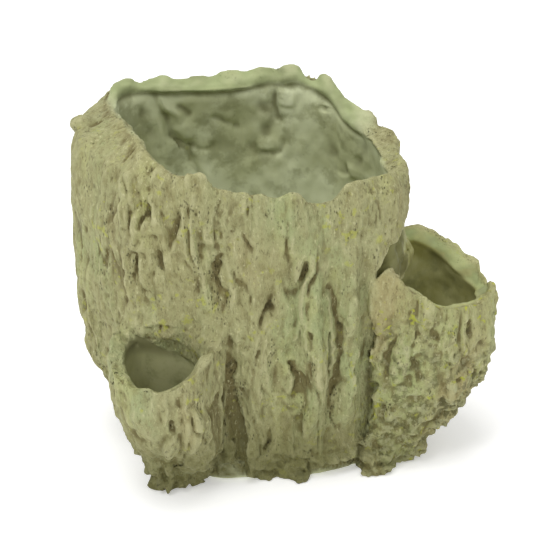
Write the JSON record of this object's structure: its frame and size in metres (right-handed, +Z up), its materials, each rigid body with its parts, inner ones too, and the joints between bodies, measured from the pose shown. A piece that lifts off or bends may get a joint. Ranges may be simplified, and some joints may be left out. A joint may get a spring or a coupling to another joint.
{
  "type": "resin cave ornament",
  "caption": "Rock-look resin ornament for ponds and aquariums: a tall open well shaped like a weathered stump, with smaller open pockets low on its sides.",
  "frame": {"origin": "middle of the well's underside, on the ground", "axes": "+Z up, -Y the front with both pockets in view, +X towards the larger pocket"},
  "size_m": [0.1916, 0.1348, 0.1601],
  "materials": {
    "stone_rear": "rough matt filled resin, olive khaki, with a greener smooth inside",
    "stone_front": "rough matt filled resin, khaki and tan with green tints, fluted and pitted",
    "stone_plate": "smooth matt filled resin, grey green",
    "stone_right": "rough matt filled resin, olive green with yellow flecks and a light green rim",
    "stone_left": "rough matt filled resin, khaki with a dark grey-green inside"
  },
  "bodies": {
    "root": {"rear_shell": "stone_rear", "front_shell": "stone_front", "floor_plate": "stone_plate", "right_pocket": "stone_right", "left_pocket": "stone_left"}
  },
  "joints": []
}
